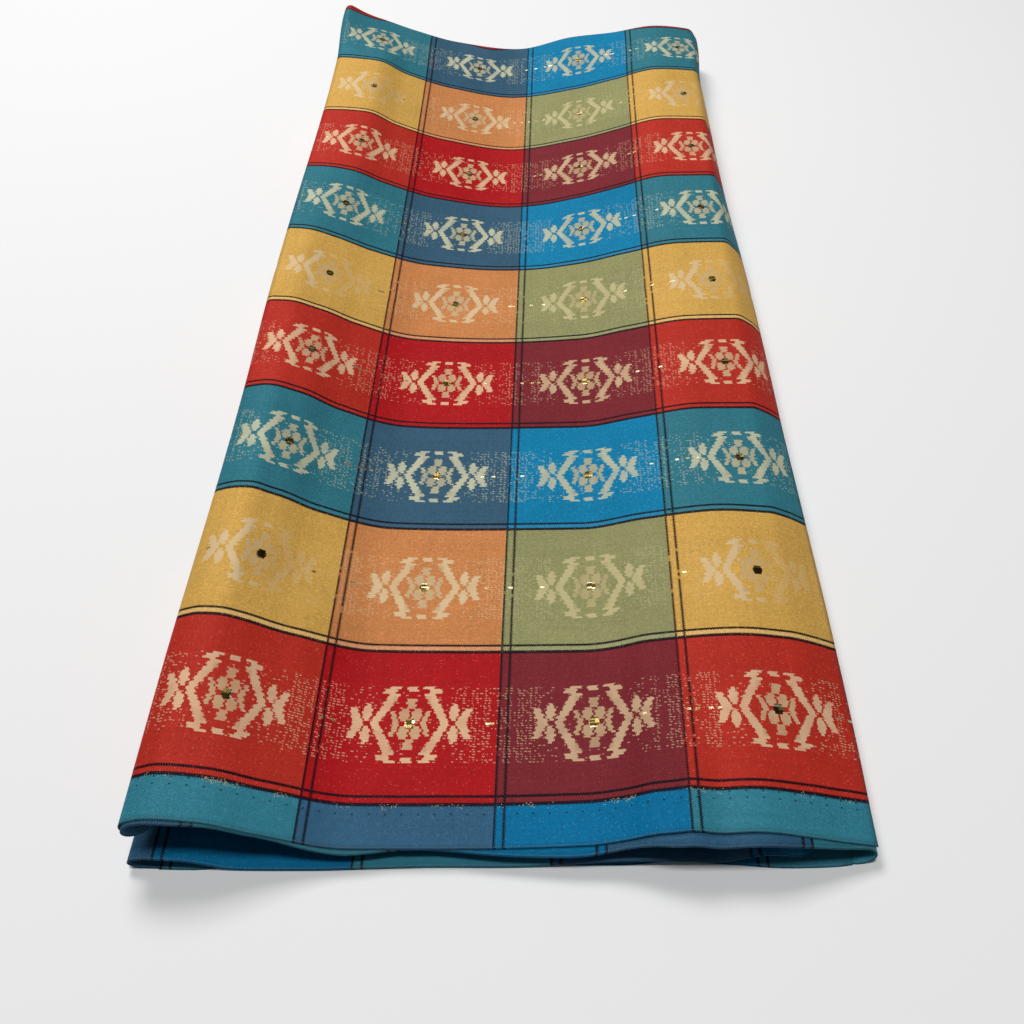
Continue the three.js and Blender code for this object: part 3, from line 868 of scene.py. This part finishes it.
class SarongColours(bpy.types.PropertyGroup):
    red_slate: dye("Crimson", "Red row, slate column", (0.417, 0.009, 0.011))
    red_bright: dye("Maroon", "Red row, bright column", (0.198, 0.0216, 0.0286))
    red_teal: dye("Orange red", "Red row, teal column", (0.475, 0.031, 0.019))
    yellow_slate: dye("Salmon", "Yellow row, slate column", (0.585, 0.23, 0.077))
    yellow_bright: dye("Sage", "Yellow row, bright column", (0.29, 0.287, 0.125))
    yellow_teal: dye("Golden yellow", "Yellow row, teal column", (0.65, 0.38, 0.087))
    blue_slate: dye("Slate blue", "Blue row, slate column", (0.0395, 0.106, 0.17))
    blue_bright: dye("Bright blue", "Blue row, bright column", (0.004, 0.205, 0.39))
    blue_teal: dye("Teal", "Blue row, teal column", (0.034, 0.186, 0.238))
    border_slate: dye("Slate border", "Border, slate column", (0.036, 0.12, 0.215))
    border_bright: dye("Bright border", "Border, bright column", (0.001, 0.158, 0.335))
    border_teal: dye("Teal border", "Border, teal column", (0.036, 0.21, 0.285))
    float_on_red: dye("Tan yarn", "Figures in the red rows", (0.74, 0.49, 0.3))
    float_on_maroon: dye("Brown yarn", "The same, bright column", (0.61, 0.42, 0.255))
    float_on_yellow: dye("Straw yarn", "Figures in the yellow rows", (0.7, 0.53, 0.31))
    float_on_sage: dye("Green yarn", "The same, bright column", (0.54, 0.475, 0.25))
    float_on_blue: dye("Cream yarn", "Figures in the blue rows", (0.56, 0.56, 0.385))
    float_on_bright: dye("Pale yarn", "The same, bright column", (0.485, 0.51, 0.36))
    # The flower's darker yarn, also used for the painted shade between the figure's wefts.
    flower_yarn_and_weft_shade: dye("Flower shade", "Darker yarn in the figure's flower", (0.3, 0.18, 0.06))
    # The lines' dark yarn; it also paints the shade along the selvedge edge.
    line: dye("Line", "Dark yarn of the lines", (0.008, 0.005, 0.009))
    frayed: dye("Frayed ends", "Pale cut weft ends", (0.6, 0.5, 0.26))
    gold: dye("Gold", "Lit strands of the gold thread", (0.42, 0.3, 0.09))
    gold_shadow: dye("Gold shadow", "Strands of the gold thread in shade", (0.045, 0.03, 0.008))
    gold_spark: dye("Gold spark", "The gold thread's brightest spots", (0.8, 0.7, 0.45))
    stitch: dye("Stitches", "Pale weft ends at the selvedge", (0.25, 0.4, 0.45))


# ---- The plies ----


def flat_places(path, points, at_middle, ease):
    """Each point's place on the flat cloth, and the width of the cloth in millimetres.

    Across, it is the length along the first section, times ease, counted from the strip's middle;
    along, it is the distance from the selvedge.
    """
    lengths = distances(path[:1], 1)
    middle = int(np.argmin(np.abs(path[0, :, 0])))
    across = at_middle + ease * (lengths - lengths[:, middle : middle + 1])
    weave = np.stack([np.broadcast_to(across, points.shape[:2]), distances(points, 0)], axis=-1)
    return weave, float(lengths[0, -1])


def lay_ply(name, nodes, points, weave, width, **lie):
    """A ply under the top one, as long as the strip, as a mesh of its grid; its width and the way it
    lies are not used.
    """
    ply = cloth_object(name, [(points, weave)], nodes)


class SARONG_OT_top_ply(bpy.types.Operator):
    """Make the top ply, from the selvedge end over the two ridges and round the far fold"""

    bl_idname = "sarong.top_ply"
    bl_label = "Top ply"

    def execute(self, context):
        grid = context.scene.sarong_cloth.grid
        across = spaced(TOP_LEFT, TOP_RIGHT, grid)
        along = spaced(0.0, FOLD_AT + FAR_SPARE, grid)
        path = top_path(along, across)
        hem, hem_lengths = left_hem(path, 5)
        points = swept(np.concatenate([hem, path], axis=1), along)

        # Round the far fold each point follows half an ellipse as tall as the stack.
        crest = points[-1]
        angle = np.linspace(0, np.pi, FOLD_STEPS + 1)[1:, None]
        y = crest[:, 1] + (FOLD_REACH + FOLD_SWELL * crest[:, 2]) * np.sin(angle)
        z = crest[:, 2] * (1 + np.cos(angle)) / 2
        fold = np.stack([np.broadcast_to(crest[:, 0], y.shape), y, z], axis=-1)
        points = np.concatenate([points, fold])

        # Each point's place on the flat cloth, with the far puckers' cloth added before the fold.
        rows = np.minimum(np.arange(len(points)), len(along) - 1)
        flat_across = np.concatenate([hem_lengths + across[0], drawn_in(along, across)], axis=1)[rows]
        puckers = np.clip((along[rows] - PUCKER_START) / (FOLD_AT - PUCKER_START), 0, 1)[:, None]
        taken_up = table_curve(FAR_TAKE_UP, flat_across) * puckers**2 * (3 - 2 * puckers)
        weave = np.stack([flat_across, distances(points, 0) + taken_up], axis=-1)
        nodes = ("top_panel", "far_fold")
        ply = cloth_object("top_ply", [(points, weave)], nodes)
        return {"FINISHED"}


class SARONG_OT_second_ply(bpy.types.Operator):
    """Make the second ply, from its hidden end round the left fold to the right fold"""

    bl_idname = "sarong.second_ply"
    bl_label = "Second ply"

    def execute(self, context):
        grid = context.scene.sarong_cloth.grid
        along = spaced(0.0, FOLD_AT, 2 * grid)
        path, fronts = second_path(along, 1.2 * grid)
        points = swept(path, along, fronts)
        weave, width = flat_places(path, points, SECOND_MIDDLE, -SECOND_EASE)
        lay_ply(
            "second_ply", ("left_fold", "second_panel", "right_fold"), points, weave, width,
            held="folded", rests_on=["lower_ply"],
        )
        return {"FINISHED"}


class SARONG_OT_lower_ply(bpy.types.Operator):
    """Make the lower ply, from the surface round its left fold to its right end"""

    bl_idname = "sarong.lower_ply"
    bl_label = "Lower ply"

    def execute(self, context):
        grid = context.scene.sarong_cloth.grid
        along = spaced(0.0, FOLD_AT, 2 * grid)
        path = lower_path(along, 1.4 * grid)
        points = swept(path, along, table_curve(LOWER_FRONTS, path[0, :, 0]))
        weave, width = flat_places(path, points, LOWER_MIDDLE, 1.0)
        lay_ply(
            "lower_ply", ("lower_panel",), points, weave, width,
            held="folded", rests_on=["bottom_ply"],
        )
        return {"FINISHED"}


class SARONG_OT_bottom_ply(bpy.types.Operator):
    """Make the bottom ply, flat on the surface"""

    bl_idname = "sarong.bottom_ply"
    bl_label = "Bottom ply"

    def execute(self, context):
        grid = context.scene.sarong_cloth.grid
        along = spaced(0.0, FOLD_AT, 4 * grid)
        right = second_path(along, 1.2 * grid)[0][:, -1, 0]
        x = LOWER_SEAM + (right[:, None] - LOWER_SEAM) * np.linspace(0, 1, 61)
        thickness = context.scene.sarong_cloth.thickness
        path = np.stack([x, np.full_like(x, thickness)], axis=-1)
        points = swept(path, along, table_curve(BOTTOM_FRONTS, x[0]))
        weave = np.stack([x + BOTTOM_MIDDLE, distances(points, 0)], axis=-1)
        width = float(x[0, -1] - x[0, 0])
        lay_ply("bottom_ply", ("bottom_panel",), points, weave, width, held="laid")
        return {"FINISHED"}


class SARONG_OT_hidden_plies(bpy.types.Operator):
    """Make the hidden plies between the second and the lower one, as two flattened tubes"""

    bl_idname = "sarong.hidden_plies"
    bl_label = "Hidden plies"

    def execute(self, context):
        grid = context.scene.sarong_cloth.grid
        grids = []
        for inset, further_in in TUBES:
            along = spaced(INNER_FRONT + further_in, FOLD_AT - 2, 5 * grid)
            ceiling = under_top(along, spaced(TOP_LEFT + 4, TOP_RIGHT - 3, 3.0), 2 * PLY + 4 * GAP)
            left = (left_edge(along) + TUBE_LEFT)[:, None]
            right = (ceiling[:, -1, 0] - TUBE_RIGHT)[:, None]
            # Round each section: across as the cosine of an angle, up as its sine's power.
            angle = np.linspace(0, 2 * np.pi, 97)
            x = (left + right) / 2 + ((right - left) / 2 - TUBE_SHRINK * inset) * np.cos(angle)
            lift = np.sign(np.sin(angle)) * np.abs(np.sin(angle)) ** TUBE_ROUND * (1 - inset)
            highest = np.stack([np.interp(at, *over.T) for at, over in zip(x, ceiling)])
            lowest = lower_sections(along, x)[..., 1] + PLY + 5 * GAP
            z = (highest + lowest) / 2 + (highest - lowest) / 2 * lift
            path = np.stack([x, z], axis=-1)[:, ::-1]
            points = swept(path, along)
            grids.append((points, np.stack([distances(path, 1), distances(points, 0)], axis=-1)))
        plies = cloth_object("hidden_plies", grids, ("inner_layers",))
        return {"FINISHED"}


# ---- The stage ----


class SARONG_OT_stage(bpy.types.Operator):
    """Make the floor, the soft light and the camera"""

    bl_idname = "sarong.stage"
    bl_label = "Stage"

    def execute(self, context):
        scene = context.scene
        floor_mesh = bpy.data.meshes.new("floor")
        side = 4.0
        corners = [(-side, -side, 0), (side, -side, 0), (side, side, 0), (-side, side, 0)]
        floor_mesh.from_pydata(corners, [], [(0, 1, 2, 3)])
        floor = bpy.data.objects.new("floor", floor_mesh)
        scene.collection.objects.link(floor)
        floor_mesh.materials.append(plain_material("Pale floor", (0.87, 0.87, 0.87), 0.8))

        world = bpy.data.worlds.new("Soft daylight")
        world.use_nodes = True
        feed(world.node_tree.nodes["Background"].inputs, ((1.0, 1.0, 1.0, 1.0), WORLD_STRENGTH))
        scene.world = world
        scene.view_settings.view_transform = "Standard"
        for name, (place, size, power) in LIGHTS.items():
            area_light(name, place, size, power)

        camera = bpy.data.cameras.new("Camera")
        camera.lens = CAMERA_LENS
        camera.sensor_width = 36.0
        camera.clip_start = 0.01
        eye = bpy.data.objects.new("Camera", camera)
        turns = ((CAMERA_YAW, "Z"), (90 - CAMERA_DOWN, "X"), (CAMERA_ROLL, "Z"))
        yaw, pitch, roll = [Matrix.Rotation(math.radians(a), 4, axis) for a, axis in turns]
        eye.matrix_world = Matrix.Translation(CAMERA_PLACE) @ yaw @ pitch @ roll
        scene.collection.objects.link(eye)
        scene.camera = eye
        return {"FINISHED"}


def plain_material(name, colour, roughness):
    """A plain matt finish for the stage."""
    material = bpy.data.materials.new(name)
    material.use_nodes = True
    shader = material.node_tree.nodes["Principled BSDF"]
    feed_named(shader, {"Base Color": (*colour, 1.0), "Roughness": roughness})
    return material


def area_light(name, place, size, power):
    """A square soft light at a place, turned to the middle of the cloth."""
    light = bpy.data.lights.new(name, "AREA")
    light.shape = "SQUARE"
    light.size = size
    light.energy = power
    lamp = bpy.data.objects.new(name, light)
    x, y, z = place
    lamp.rotation_euler = (math.atan2(math.hypot(x, y), z), 0.0, math.atan2(x, -y))
    lamp.location = place
    bpy.context.scene.collection.objects.link(lamp)


class SARONG_PT_panel(bpy.types.Panel):
    bl_label = "Folded Sarong"
    bl_idname = "SARONG_PT_panel"
    bl_space_type = "VIEW_3D"
    bl_region_type = "UI"
    bl_category = "Sarong"

    def draw(self, context):
        for group in (context.scene.sarong_cloth, context.scene.sarong_colours):
            box = self.layout.box()
            for name in group.__annotations__:
                box.prop(group, name)
        for operator in OPERATORS:
            self.layout.operator(operator.bl_idname)


OPERATORS = (
    SARONG_OT_top_ply,
    SARONG_OT_second_ply,
    SARONG_OT_lower_ply,
    SARONG_OT_bottom_ply,
    SARONG_OT_hidden_plies,
    SARONG_OT_stage,
)
CLASSES = (SarongCloth, SarongColours, *OPERATORS, SARONG_PT_panel)


def register():
    for one in CLASSES:
        bpy.utils.register_class(one)
    bpy.types.Scene.sarong_cloth = bpy.props.PointerProperty(type=SarongCloth)
    bpy.types.Scene.sarong_colours = bpy.props.PointerProperty(type=SarongColours)


def unregister():
    del bpy.types.Scene.sarong_colours
    del bpy.types.Scene.sarong_cloth
    for one in reversed(CLASSES):
        bpy.utils.unregister_class(one)


def main():
    register()
    bpy.ops.sarong.top_ply()
    bpy.ops.sarong.second_ply()
    bpy.ops.sarong.lower_ply()
    bpy.ops.sarong.bottom_ply()
    bpy.ops.sarong.hidden_plies()
    bpy.ops.sarong.stage()


if __name__ == "__main__":
    main()
